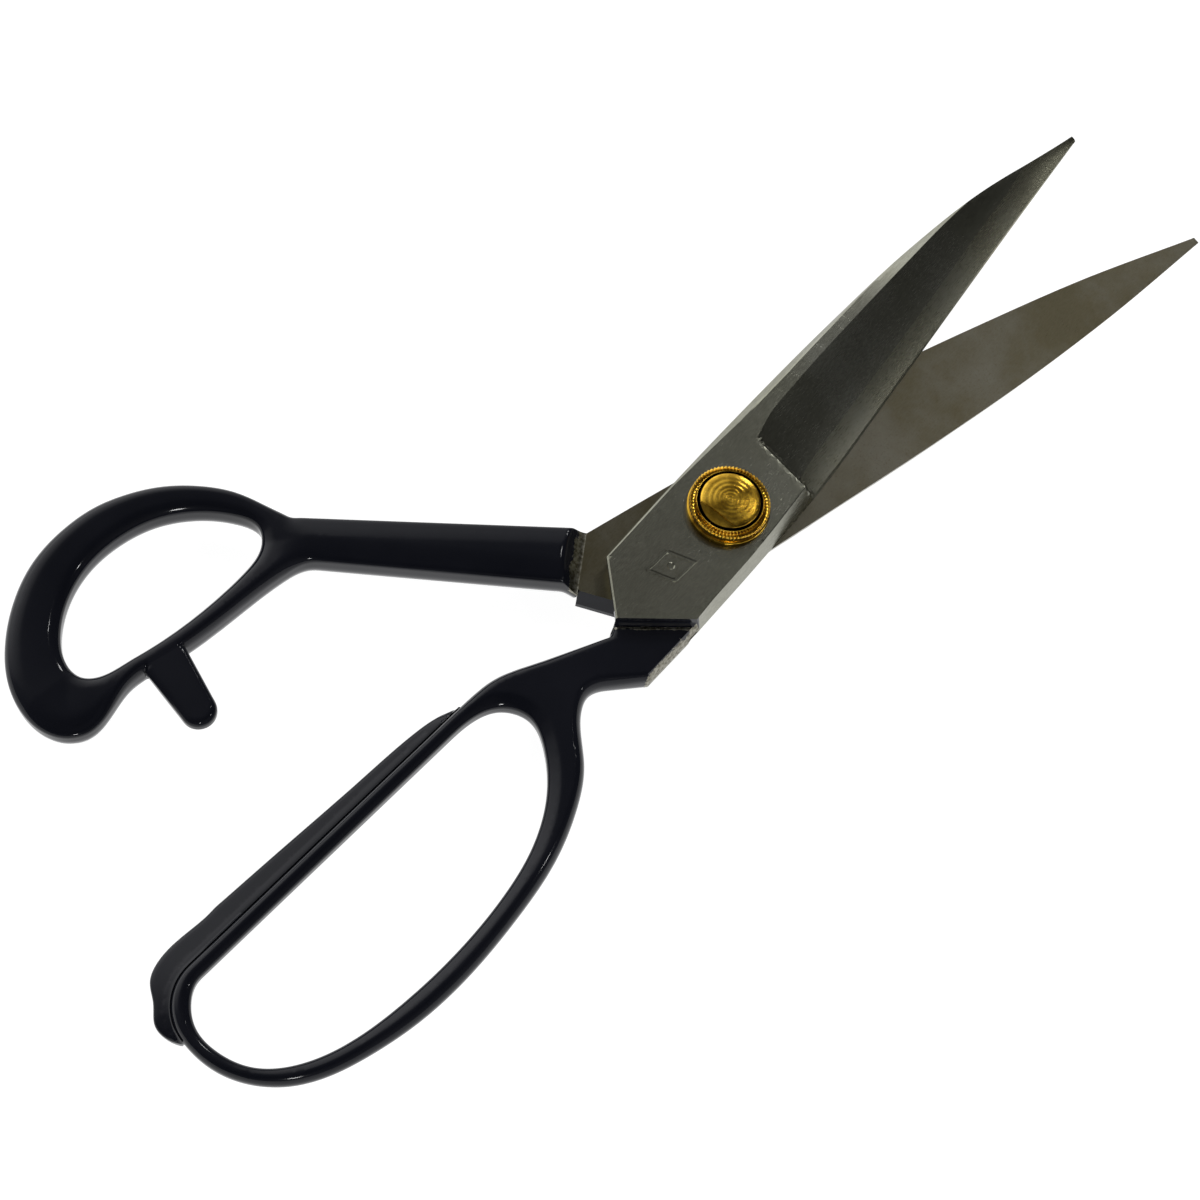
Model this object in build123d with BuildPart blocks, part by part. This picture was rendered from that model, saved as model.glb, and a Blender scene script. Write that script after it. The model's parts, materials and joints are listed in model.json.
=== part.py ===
"""Ten-inch tailor's fabric shears: two forged halves on an adjustable brass pivot.

Frame: the origin is on the pivot axis, at the flat back face of the pivot bolt's head.
+Z points up through the adjusting nut, and +X along the upper blade to its tip.
All sizes are in millimetres. The shears are modelled open, as they lie.
"""
from build123d import *
from math import cos, radians, sin
import os

# ---- driving dimensions ------------------------------------------------------------
OPEN_ANGLE = 16.2          # angle between the two blades as they lie
BLADE_THICK = 5.0          # thickness of each half at the pivot
PLATE_THICK = 1.3          # hard cutting steel laid on each inner face
PLATE_START = 13.0         # the laid steel starts this far in front of the pivot
PLUNGE = 16.6              # the hollow grind starts this far in front of the pivot
FACE_GAP = 0.06            # running gap between the two inner faces

HEAD_HEIGHT = 2.0          # flat head at the back of the bolt
HEAD_RADIUS = 8.0
BOLT_RADIUS = 5.6
BOLT_FIT = 0.05            # radial running clearance of the bolt in the upper blade and nut
KEY_FLAT = 4.7             # distance of the bolt's anti-turn flat from the axis
DOME_RISE = 0.9            # the domed bolt end stands this far above the nut
DOME_HEIGHT = 0.7          # height of the dome itself
FACET_DISTANCE = 3.7       # the slanted facet on the dome starts this far from the axis
FACET_TILT = 24.0

WASHER_THICK = 0.9
WASHER_RADIUS = 7.75
NUT_THICK = 1.95
NUT_RADIUS = 7.5

# Upper and lower faces of the handles, from the plane between the blades, as heights
# at the pivot and at the far end.
UPPER_BOW_TOP = (3.0, 1.8)
UPPER_BOW_BOTTOM = (-4.8, -2.8)
UPPER_ROUNDING = 1.25
FLANGE_TOP = -0.7          # low outer flange of the finger bow, which the stop peg passes over
FLANGE_BOTTOM = -2.7
LOWER_BOW_TOP = 3.7
LOWER_BOW_BOTTOM = -4.5
LOWER_ROUNDING = 1.4
SHOULDER_END = -33.5       # the handles' rims are rounded from here to their far ends
PEG_TOP = 3.4
PEG_BOTTOM = 0.3

# ---- heights -----------------------------------------------------------------------
CONTACT = HEAD_HEIGHT + BLADE_THICK                    # inner face of the lower half
UPPER_BASE = CONTACT + FACE_GAP                        # inner face of the upper half
UPPER_TOP = UPPER_BASE + BLADE_THICK
WASHER_TOP = UPPER_TOP + WASHER_THICK
NUT_TOP = WASHER_TOP + NUT_THICK
BOLT_TOP = NUT_TOP + DOME_RISE
DOME_EDGE = BOLT_TOP - DOME_HEIGHT

os.makedirs("parts", exist_ok=True)


def upper_plane(height):
    """Plan view of the upper half, x towards its tip."""
    return Plane((0, 0, height))


def lower_plane(height):
    """Plan view of the lower half, x towards its tip, which lies OPEN_ANGLE clockwise."""
    along = (cos(radians(OPEN_ANGLE)), -sin(radians(OPEN_ANGLE)), 0)
    return Plane((0, 0, height), x_dir=along)


def write(piece, name):
    """Label a finished piece and write it to its own STEP file."""
    piece.part.label = name
    export_step(piece.part, f"parts/{name}.step")


def key_section():
    """Section of the bolt where it passes through the lower blade: a disc with one flat."""
    Circle(BOLT_RADIUS)
    with Locations((-KEY_FLAT, 0)):
        beyond_flat = (Align.MAX, Align.CENTER)
        Rectangle(BOLT_RADIUS, 2 * BOLT_RADIUS, align=beyond_flat, mode=Mode.SUBTRACT)


# ---- blades ------------------------------------------------------------------------
# Stations along a blade: distance from the pivot, then across the blade the cutting edge,
# the ridge of the hollow grind and its height, and the spine and its height.
UPPER_STATIONS = (
    (PLUNGE, -9.8, 6.2, 4.9, 10.8, 3.3),
    (45, -7.4, 6.9, 4.4, 10.1, 3.0),
    (70, -5.1, 6.6, 3.8, 8.6, 2.6),
    (92, -3.1, 4.6, 3.0, 5.7, 2.1),
    (117.4, -1.0, -0.3, 1.5, 0.1, 1.2),
)
LOWER_STATIONS = (
    (PLUNGE, -10.8, 5.4, 4.9, 9.1, 3.3),
    (45, -9.8, 5.2, 4.4, 8.1, 3.0),
    (70, -7.7, 4.4, 3.8, 6.6, 2.6),
    (92, -5.3, 3.3, 3.0, 4.4, 2.1),
    (119.1, -0.9, 0.1, 1.5, 0.5, 1.2),
)
LAND = 0.25                # height of the thin land at the cutting edge
BEVEL_SHARE = 0.07         # width of the narrow bevel behind it, as a share of the ground face
BEVEL_HEIGHT = 0.8
HOLLOW = 0.05              # depth of the hollow, as a share of its width
TANG_CHAMFER = 0.4
TANG_CORNERS = ((-22.4, 10.5), (-30.8, 1.6), (-20.6, -10.3))
LOWER_TANG_CORNERS = ((-21.4, 10.3), (-31.7, -1.9), (-23.2, -11.3))


def forged_blade(plan, side, stations, tang_corners):
    """One half's blade and tang. side is 1 when it lies above its inner face, -1 below."""
    flat = plan(UPPER_BASE if side > 0 else CONTACT)
    with BuildPart() as blade:
        for x, edge, ridge, ridge_z, spine, spine_z in stations:
            land = (edge, LAND)
            bevel = (edge + BEVEL_SHARE * (ridge - edge), BEVEL_HEIGHT)
            sag = HOLLOW * (ridge - bevel[0])
            middle = ((bevel[0] + ridge) / 2, (bevel[1] + ridge_z) / 2 - sag)
            facet = (ridge + 0.7 * (spine - ridge), ridge_z - 0.35 * (ridge_z - spine_z))
            start = flat.from_local_coords((x, 0, 0))
            with BuildSketch(Plane(start, x_dir=flat.y_dir * side, z_dir=flat.x_dir)):
                with BuildLine():
                    Polyline((edge, 0), land, bevel)
                    ThreePointArc(bevel, middle, (ridge, ridge_z))
                    Polyline((ridge, ridge_z), facet, (spine, spine_z), (spine, 0), (edge, 0))
                make_face()
        loft()
        start_edge, start_spine = stations[0][1], stations[0][4]
        outline = [(PLUNGE, start_spine), *tang_corners, (-4, tang_corners[2][1]), (PLUNGE, start_edge)]
        with BuildSketch(flat):
            with BuildLine():
                Polyline([(x, y * side) for x, y in outline], close=True)
            make_face()
        extrude(amount=BLADE_THICK * side)
        outer_face = blade.faces().filter_by(Axis.Z).sort_by(Axis.Z)[-1 if side > 0 else 0]
        tang_rim = [
            edge for edge in outer_face.edges()
            if flat.to_local_coords(edge.center()).X < PLUNGE - 1
        ]
        chamfer(tang_rim, TANG_CHAMFER)
    return blade.part


upper_blank = forged_blade(upper_plane, 1, UPPER_STATIONS, TANG_CORNERS)
lower_blank = forged_blade(lower_plane, -1, LOWER_STATIONS, LOWER_TANG_CORNERS)

plate_box = (130, 60, 2 * PLATE_THICK)                 # reaches PLATE_THICK into the blade
plate_centre = (PLATE_START + plate_box[0] / 2, 0)

with BuildPart() as upper_blade:
    add(upper_blank)
    with Locations(upper_plane(UPPER_BASE)):
        with Locations(plate_centre):
            Box(*plate_box, mode=Mode.SUBTRACT)
    with Locations(upper_plane(UPPER_TOP)):
        Hole(BOLT_RADIUS + BOLT_FIT)
write(upper_blade, "upper_blade")

with BuildPart() as upper_cutting_plate:
    add(upper_blank)
    with Locations(upper_plane(UPPER_BASE)):
        with Locations(plate_centre):
            Box(*plate_box, mode=Mode.INTERSECT)
write(upper_cutting_plate, "upper_cutting_plate")

with BuildPart() as lower_blade:
    add(lower_blank)
    with Locations(lower_plane(CONTACT)):
        with Locations(plate_centre):
            Box(*plate_box, mode=Mode.SUBTRACT)
    with BuildSketch(lower_plane(CONTACT)):
        key_section()
    extrude(amount=-BLADE_THICK, mode=Mode.SUBTRACT)
write(lower_blade, "lower_blade")

with BuildPart() as lower_cutting_plate:
    add(lower_blank)
    with Locations(lower_plane(CONTACT)):
        with Locations(plate_centre):
            Box(*plate_box, mode=Mode.INTERSECT)
write(lower_cutting_plate, "lower_cutting_plate")

# ---- finger bow, on the upper half -------------------------------------------------
def bow_face(near, far, plan, reach=135):
    """Plane of a handle's upper or lower face, which slopes a little towards its far end."""
    slope = (near - far) / reach
    level = plan(CONTACT + near)
    along = level.x_dir + level.z_dir * slope
    return Plane(level.origin, x_dir=along, z_dir=level.z_dir - level.x_dir * slope)


BAR_FAR = Vector(-124.5, 16.1)             # the straight bar of the finger bow, on its outer side
BAR_NEAR = Vector(-66, 12.7)
BAR_WIDTH = 2.9
bar = (BAR_NEAR - BAR_FAR).normalized()
bar_inward = Vector(bar.Y, -bar.X) * BAR_WIDTH

with BuildPart() as flange:
    with BuildSketch(upper_plane(CONTACT + FLANGE_BOTTOM)):
        with BuildLine():
            Spline((-60, 12.2), (-63.4, 14.3), (-68.5, 15.6), (-81.6, 17), (-98, 18.7), (-114.2, 20.3))
            Spline(
                (-114.2, 20.3), (-121, 20.9), (-126.8, 21), (-130.3, 19.6), (-132.6, 16.6), (-135.1, 13.8),
                (-135.5, 11.4), (-134.2, 7.6),
            )
            Polyline((-134.2, 7.6), (-132.6, 8), (-131.4, 11.2), (-124.3, 14.8), (-66, 11.3), (-60, 12.2))
        make_face()
    extrude(amount=FLANGE_TOP - FLANGE_BOTTOM)
    outer = [edge for edge in flange.edges().filter_by(GeomType.BSPLINE) if edge.length < 60]
    chamfer([edge for edge in outer if edge.center().Z > CONTACT + FLANGE_TOP - 0.1], 0.9)

with BuildPart() as upper_handle:
    with BuildSketch(upper_plane(CONTACT - BLADE_THICK)):
        with BuildLine():
            Polyline((-47.5, 9), (-33, 0.9), (-30.8, 1.6), (-20.6, -10.3), (-34.6, -9.9), (-40.2, -4.8))
            Spline(
                (-40.2, -4.8), (-43.2, -3.2), (-46.2, -3.9), (-54.5, -11.2), (-61, -15), (-71, -18.3),
                (-82, -19.7), (-96.5, -20), (-107, -18.8), (-116, -16.4), (-122.3, -13.9), (-127.8, -10.3),
                (-131.9, -5.4), (-134.2, 0.2), (-134.6, 6), (-133.2, 11.2), (-129.8, 14.8), BAR_FAR,
                tangents=(Vector(-5.6, 5.1).normalized(), bar), tangent_scalars=(1, 1),
            )
            Line(BAR_FAR, BAR_NEAR)
            Spline(
                BAR_NEAR, (-59, 12.3), (-52.5, 11.3), (-47.5, 9),
                tangents=(bar, Vector(14.5, -8.1).normalized()), tangent_scalars=(1, 1),
            )
        make_face()
        with BuildLine():
            Line(BAR_NEAR + bar_inward, BAR_FAR + bar_inward)
            Spline(
                BAR_FAR + bar_inward, (-129, 11.3), (-131.6, 7.2), (-131.9, 2.8), (-130.2, -3.1),
                (-124.2, -9.1), (-118, -12.1), (-107, -14.7), (-90, -16), (-81, -15.5), (-73.5, -14.2),
                (-63.3, -9.8), (-56.5, -3.5), (-54, 2), (-56.2, 7), (-60.5, 9.1), BAR_NEAR + bar_inward,
                tangents=(-bar, -bar), tangent_scalars=(1, 1),
            )
        make_face(mode=Mode.SUBTRACT)
    extrude(amount=2 * BLADE_THICK)
    split(bisect_by=bow_face(*UPPER_BOW_TOP, upper_plane), keep=Keep.BOTTOM)
    split(bisect_by=bow_face(*UPPER_BOW_BOTTOM, upper_plane), keep=Keep.TOP)
    for face in (upper_handle.faces().sort_by(Axis.Z)[-1], upper_handle.faces().sort_by(Axis.Z)[0]):
        fillet([edge for edge in face.edges() if edge.center().X < SHOULDER_END], UPPER_ROUNDING)
    with BuildSketch(upper_plane(UPPER_BASE)):
        Polygon((-33.4, 2.4), (-22.9, -10.8), (-22, -13), (-14, -13), (-14, 4), (-30, 4), align=None)
    extrude(amount=-2 * BLADE_THICK, mode=Mode.SUBTRACT)
    add(flange.part)
write(upper_handle, "upper_handle")

# ---- thumb bow and stop peg, on the lower half ---------------------------------------
with BuildPart() as stop_peg:
    with BuildSketch(lower_plane(CONTACT + PEG_BOTTOM)):
        with BuildLine():
            Polyline((-103.4, 18.2), (-104.6, 31.5), (-96, 31.5), (-97, 18.2))
            ThreePointArc((-97, 18.2), (-100.2, 14.95), (-103.4, 18.2))
        make_face()
    extrude(amount=PEG_TOP - PEG_BOTTOM)
    fillet(stop_peg.faces().sort_by(Axis.Z)[-1].edges(), 1.1)
    fillet(stop_peg.faces().sort_by(Axis.Z)[0].edges(), 0.8)

with BuildPart() as lower_handle:
    with BuildSketch(lower_plane(CONTACT + LOWER_BOW_BOTTOM)):
        with BuildLine():
            Polyline((-68.3, 31.7), (-33, 4.5), (-31.7, 1.9), (-23.2, 11.3), (-67.5, 41.5))
            Spline(
                (-67.5, 41.5), (-69.6, 45.2), (-73.1, 51), (-77.5, 55.3), (-84.3, 59.4),
                (-90.6, 61.3), (-96, 61.9), (-102, 61.2), (-109.5, 58.6), (-117.6, 52.4),
                (-122.3, 46.2), (-124.7, 41), (-125.6, 35.8), (-124.8, 30.4), (-122, 26.4),
                (-117.6, 24.8), (-113.8, 25.8), (-107.6, 28.8), (-100, 29.4), (-84, 31.3),
                (-74.5, 32.7), (-68.3, 31.7),
                tangents=((-0.5, 0.87), Vector(35.3, -27.2).normalized()), tangent_scalars=(1, 1),
            )
        make_face()
        with BuildLine():
            Line((-107.6, 32.4), (-107, 32.4))
            Spline(
                (-107, 32.4), (-99, 32.7), (-87.1, 34.6), (-80.3, 36.5), (-75.2, 39.3), (-73.5, 42.6),
                (-76.2, 47.6), (-82.2, 52), (-88.1, 54.1), (-94.7, 54.4), (-101.5, 52.9),
                (-107.9, 49.2), (-112.8, 43.7), (-114.8, 38), (-114, 34.6), (-111.5, 32.9), (-107.6, 32.4),
                tangents=((1, 0), (1, 0)), tangent_scalars=(1, 1),
            )
        make_face(mode=Mode.SUBTRACT)
    extrude(amount=LOWER_BOW_TOP - LOWER_BOW_BOTTOM)
    for face in (lower_handle.faces().sort_by(Axis.Z)[-1], lower_handle.faces().sort_by(Axis.Z)[0]):
        rim = [
            edge for edge in face.edges()
            if lower_plane(0).to_local_coords(edge.center()).X < SHOULDER_END
        ]
        fillet(rim, LOWER_ROUNDING)
    add(stop_peg.part)
write(lower_handle, "lower_handle")

# ---- pivot -------------------------------------------------------------------------
facet_plane = Plane(
    (-FACET_DISTANCE, 0, NUT_TOP + 0.55 * DOME_RISE),
    x_dir=(cos(radians(FACET_TILT)), 0, sin(radians(FACET_TILT))),
    z_dir=(-sin(radians(FACET_TILT)), 0, cos(radians(FACET_TILT))),
)

with BuildPart() as pivot_bolt:
    with Locations((0, 0, HEAD_HEIGHT / 2)):
        Cylinder(HEAD_RADIUS, HEAD_HEIGHT)
    chamfer(pivot_bolt.faces().sort_by(Axis.Z)[0].edges(), 0.5)
    with BuildSketch(lower_plane(HEAD_HEIGHT)):
        key_section()
    extrude(amount=BLADE_THICK)
    with BuildSketch(Plane.XZ):
        with BuildLine():
            Polyline((0, BOLT_TOP), (0, CONTACT), (BOLT_RADIUS, CONTACT), (BOLT_RADIUS, DOME_EDGE))
            dome_middle = (BOLT_RADIUS / 2, DOME_EDGE + 0.75 * DOME_HEIGHT)
            ThreePointArc((BOLT_RADIUS, DOME_EDGE), dome_middle, (0, BOLT_TOP))
        make_face()
    revolve(axis=Axis.Z)
    split(bisect_by=facet_plane, keep=Keep.BOTTOM)
write(pivot_bolt, "pivot_bolt")

with BuildPart() as nut_washer:
    with Locations((0, 0, UPPER_TOP + WASHER_THICK / 2)):
        Cylinder(WASHER_RADIUS, WASHER_THICK)
    chamfer(nut_washer.edges().sort_by(Axis.Z)[-1], 0.25)
    with Locations((0, 0, WASHER_TOP)):
        Hole(BOLT_RADIUS + BOLT_FIT)
write(nut_washer, "nut_washer")

with BuildPart() as adjusting_nut:
    with Locations((0, 0, WASHER_TOP + NUT_THICK / 2)):
        Cylinder(NUT_RADIUS, NUT_THICK)
    chamfer(adjusting_nut.edges().sort_by(Axis.Z)[-1], 0.4)
    with Locations((0, 0, NUT_TOP)):
        CounterSinkHole(BOLT_RADIUS + BOLT_FIT, BOLT_RADIUS + 0.4, counter_sink_angle=90)
write(adjusting_nut, "adjusting_nut")
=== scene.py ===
"""Looks of the fabric shears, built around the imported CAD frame.

Shapes are worked out in millimetres in the plan view of each half, with x towards its tip and
heights measured from the plane where the two halves meet, and are then placed in metres.
"""

import json
from math import cos, radians, sin

import bpy
import numpy as np
from mathutils import Matrix, Vector
from mathutils.geometry import delaunay_2d_cdt


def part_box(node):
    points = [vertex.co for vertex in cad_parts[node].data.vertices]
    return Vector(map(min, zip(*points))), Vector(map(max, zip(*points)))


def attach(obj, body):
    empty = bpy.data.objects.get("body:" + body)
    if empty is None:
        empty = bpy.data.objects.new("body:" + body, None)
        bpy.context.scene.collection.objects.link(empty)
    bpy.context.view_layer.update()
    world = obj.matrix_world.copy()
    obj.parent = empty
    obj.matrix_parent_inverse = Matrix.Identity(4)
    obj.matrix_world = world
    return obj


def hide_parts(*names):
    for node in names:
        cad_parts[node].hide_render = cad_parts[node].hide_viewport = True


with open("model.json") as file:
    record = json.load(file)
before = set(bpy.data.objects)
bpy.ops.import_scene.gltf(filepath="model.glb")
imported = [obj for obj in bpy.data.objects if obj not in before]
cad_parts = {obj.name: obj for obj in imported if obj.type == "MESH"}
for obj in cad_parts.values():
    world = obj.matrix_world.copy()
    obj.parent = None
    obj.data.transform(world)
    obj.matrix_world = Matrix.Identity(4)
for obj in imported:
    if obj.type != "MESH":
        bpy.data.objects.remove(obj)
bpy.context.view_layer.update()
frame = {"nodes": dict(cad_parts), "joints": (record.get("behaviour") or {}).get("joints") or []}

MM = 0.001

# ---- sizes taken from the frame (millimetres) ----
OPEN_ANGLE = next(j for j in frame["joints"] if j["name"] == "blade_pivot")["range_deg"][1]
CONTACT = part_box("lower_blade")[1].z / MM          # inner face of the lower half
UPPER_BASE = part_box("upper_blade")[0].z / MM       # inner face of the upper half
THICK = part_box("upper_blade")[1].z / MM - UPPER_BASE
HEAD_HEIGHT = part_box("lower_blade")[0].z / MM
WASHER_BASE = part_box("nut_washer")[0].z / MM
WASHER_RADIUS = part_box("nut_washer")[1].x / MM
NUT_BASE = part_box("adjusting_nut")[0].z / MM
NUT_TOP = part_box("adjusting_nut")[1].z / MM
NUT_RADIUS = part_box("adjusting_nut")[1].x / MM
BOLT_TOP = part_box("pivot_bolt")[1].z / MM
HEAD_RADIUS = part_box("pivot_bolt")[1].x / MM
PLATE_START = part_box("upper_cutting_plate")[0].x / MM
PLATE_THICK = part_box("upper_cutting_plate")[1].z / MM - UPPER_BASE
BOLT_RADIUS = 5.6
BORE_RADIUS = BOLT_RADIUS + 0.05
KEY_FLAT = 4.7


# ---- plan geometry helpers ----
def smooth_curve(points):
    """A function y(x) through points sorted by x, with a continuous slope."""
    xs, ys = np.array(points, float).T
    slopes = np.gradient(ys, xs)

    def value(x):
        x = np.clip(np.asarray(x, float), xs[0], xs[-1])
        i = np.clip(np.searchsorted(xs, x) - 1, 0, len(xs) - 2)
        h = xs[i + 1] - xs[i]
        t = (x - xs[i]) / h
        return (
            (2 * t**3 - 3 * t**2 + 1) * ys[i] + (t**3 - 2 * t**2 + t) * h * slopes[i]
            + (3 * t**2 - 2 * t**3) * ys[i + 1] + (t**3 - t**2) * h * slopes[i + 1]
        )

    return value


def ramp(x, points):
    """Straight interpolation through (x, value) points."""
    xs, ys = np.array(points, float).T
    return np.interp(x, xs, ys)


def resample(path, step, closed=False):
    """Evenly spaced points along a path, ending exactly at its last point."""
    path = np.asarray(path, float)
    if closed:
        path = np.vstack([path, path[:1]])
    lengths = np.r_[0, np.cumsum(np.linalg.norm(np.diff(path, axis=0), axis=1))]
    count = max(2, int(round(lengths[-1] / step)) + 1)
    at = np.linspace(0, lengths[-1], count)
    out = np.c_[np.interp(at, lengths, path[:, 0]), np.interp(at, lengths, path[:, 1])]
    return out[:-1] if closed else out


def signed_area(loop):
    x, y = loop.T
    return 0.5 * np.sum(x * np.roll(y, -1) - y * np.roll(x, -1))


def distance_to(points, path, closed=True):
    """Distance of each point from a polyline."""
    starts = path if closed else path[:-1]
    ends = np.roll(path, -1, axis=0) if closed else path[1:]
    along = ends - starts
    length2 = np.maximum((along**2).sum(1), 1e-12)
    out = np.empty(len(points))
    for i in range(0, len(points), 2000):
        p = points[i:i + 2000, None, :] - starts[None]
        t = np.clip((p * along).sum(2) / length2, 0, 1)
        out[i:i + 2000] = np.sqrt(((p - t[..., None] * along) ** 2).sum(2).min(1))
    return out


def inside(points, loop):
    """Which points lie inside a closed loop."""
    x, y = points.T
    result = np.zeros(len(points), bool)
    for (x0, y0), (x1, y1) in zip(loop, np.roll(loop, -1, axis=0)):
        crosses = (y0 > y) != (y1 > y)
        with np.errstate(divide="ignore", invalid="ignore"):
            result ^= crosses & (x < (x1 - x0) * (y - y0) / (y1 - y0) + x0)
    return result


def section_loops(node, height, angle=0.0):
    """Closed outlines of a CAD node at a height (mm), turned by angle (degrees), largest first."""
    mesh = frame["nodes"][node].data
    co = np.array([v.co for v in mesh.vertices]) / MM
    _, ids = np.unique(np.round(co, 4), axis=0, return_inverse=True)
    ids = ids.ravel()
    mesh.calc_loop_triangles()
    links, places = {}, {}
    for triangle in mesh.loop_triangles:
        crossed = []
        for a, b in ((0, 1), (1, 2), (2, 0)):
            i, j = triangle.vertices[a], triangle.vertices[b]
            if (co[i][2] > height) == (co[j][2] > height):
                continue
            key = (min(ids[i], ids[j]), max(ids[i], ids[j]))
            t = (height - co[i][2]) / (co[j][2] - co[i][2])
            places[key] = (co[i] + t * (co[j] - co[i]))[:2]
            crossed.append(key)
        if len(crossed) == 2 and crossed[0] != crossed[1]:
            links.setdefault(crossed[0], []).append(crossed[1])
            links.setdefault(crossed[1], []).append(crossed[0])
    loops, used = [], set()
    for first in links:
        if first in used:
            continue
        chain, here = [], first
        while here is not None:
            used.add(here)
            chain.append(places[here])
            here = next((k for k in links[here] if k not in used), None)
        loops.append(np.array(chain))
    turn = radians(angle)
    rotation = np.array([[cos(turn), sin(turn)], [-sin(turn), cos(turn)]])
    loops = [loop @ rotation for loop in loops if len(loop) > 8]
    return sorted(loops, key=lambda loop: -abs(signed_area(loop)))


def smooth_loop(loop, step=0.4, corner_angle=28.0, rounds=14):
    """Even, fair version of a closed outline that keeps its corners."""
    keep = np.linalg.norm(loop - np.roll(loop, 1, axis=0), axis=1) > 0.03
    loop = loop[keep]
    if signed_area(loop) < 0:
        loop = loop[::-1]
    before = loop - np.roll(loop, 1, axis=0)
    after = np.roll(loop, -1, axis=0) - loop
    turn = np.degrees(np.abs(np.angle(
        (after[:, 0] + 1j * after[:, 1]) / (before[:, 0] + 1j * before[:, 1])
    )))
    corners = np.flatnonzero(turn > corner_angle)
    if len(corners) == 0:
        pieces, closed = [resample(loop, step, closed=True)], True
    else:
        loop = np.roll(loop, -corners[0], axis=0)
        corners = list(corners - corners[0]) + [len(loop)]
        ring = np.vstack([loop, loop[:1]])
        pieces = [resample(ring[a:b + 1], step)[:-1] for a, b in zip(corners, corners[1:])]
        closed = False
    fair = []
    for k, piece in enumerate(pieces):
        nxt = pieces[(k + 1) % len(pieces)][:1]
        p = piece if closed else np.vstack([piece, nxt])
        for amount in (0.5, -0.53) * rounds:
            if closed:
                p = p + amount * (0.5 * (np.roll(p, 1, 0) + np.roll(p, -1, 0)) - p)
            elif len(p) > 2:
                inner = p[1:-1] + amount * (0.5 * (p[:-2] + p[2:]) - p[1:-1])
                p = np.vstack([p[:1], inner, p[-1:]])
        fair.append(p if closed else p[:-1])
    return np.vstack(fair)


def splice(loop, other, x_from):
    """The loop, with its part beyond x_from taken from another loop that runs beside it."""
    def stretch(path, wanted):
        first = next(i for i in range(len(path)) if wanted[i] and not wanted[i - 1])
        path, wanted = np.roll(path, -first, axis=0), np.roll(wanted, -first)
        return path[:np.argmin(wanted)]

    return np.vstack([stretch(loop, loop[:, 0] < x_from), stretch(other, other[:, 0] >= x_from)])


def inward(loop, depth):
    """Points beside a counter-clockwise loop, to its left by depth."""
    tangent = np.roll(loop, -1, axis=0) - np.roll(loop, 1, axis=0)
    tangent /= np.linalg.norm(tangent, axis=1)[:, None]
    return loop + depth * np.c_[-tangent[:, 1], tangent[:, 0]]


def mitred(path, depth):
    """An open polyline moved to its left by depth, with its corners kept."""
    ahead_of = np.diff(path, axis=0)
    ahead_of /= np.linalg.norm(ahead_of, axis=1)[:, None]
    normals = np.c_[-ahead_of[:, 1], ahead_of[:, 0]]
    first = np.vstack([normals[:1], normals])
    second = np.vstack([normals, normals[-1:]])
    both = first + second
    return path + both * (2 * depth / (both**2).sum(1))[:, None]


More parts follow.
